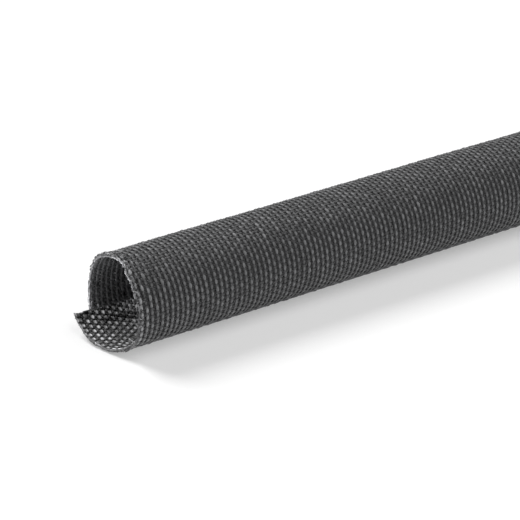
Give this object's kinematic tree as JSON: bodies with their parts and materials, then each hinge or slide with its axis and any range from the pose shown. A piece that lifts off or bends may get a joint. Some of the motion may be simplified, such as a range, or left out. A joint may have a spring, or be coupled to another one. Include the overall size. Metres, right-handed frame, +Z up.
{
  "type": "woven cable sleeve",
  "caption": "Self-closing cable sleeve: a charcoal woven sheet curled along its length into a tube, with its outer edge passing just outside its inner edge.",
  "frame": {"origin": "on the surface that the sleeve lies on, below the middle of its box", "axes": "+X along the sleeve, from the cut end that faces the viewer to the far cut end; +Y to the back, where the lip opens; +Z up"},
  "size_m": [1.004, 0.0262, 0.0248],
  "materials": {
    "woven_yarn": "charcoal polyester yarn in a plain weave, with a dull sheen and lighter cut ends"
  },
  "bodies": {
    "root": {"sleeve": "woven_yarn"}
  },
  "joints": []
}
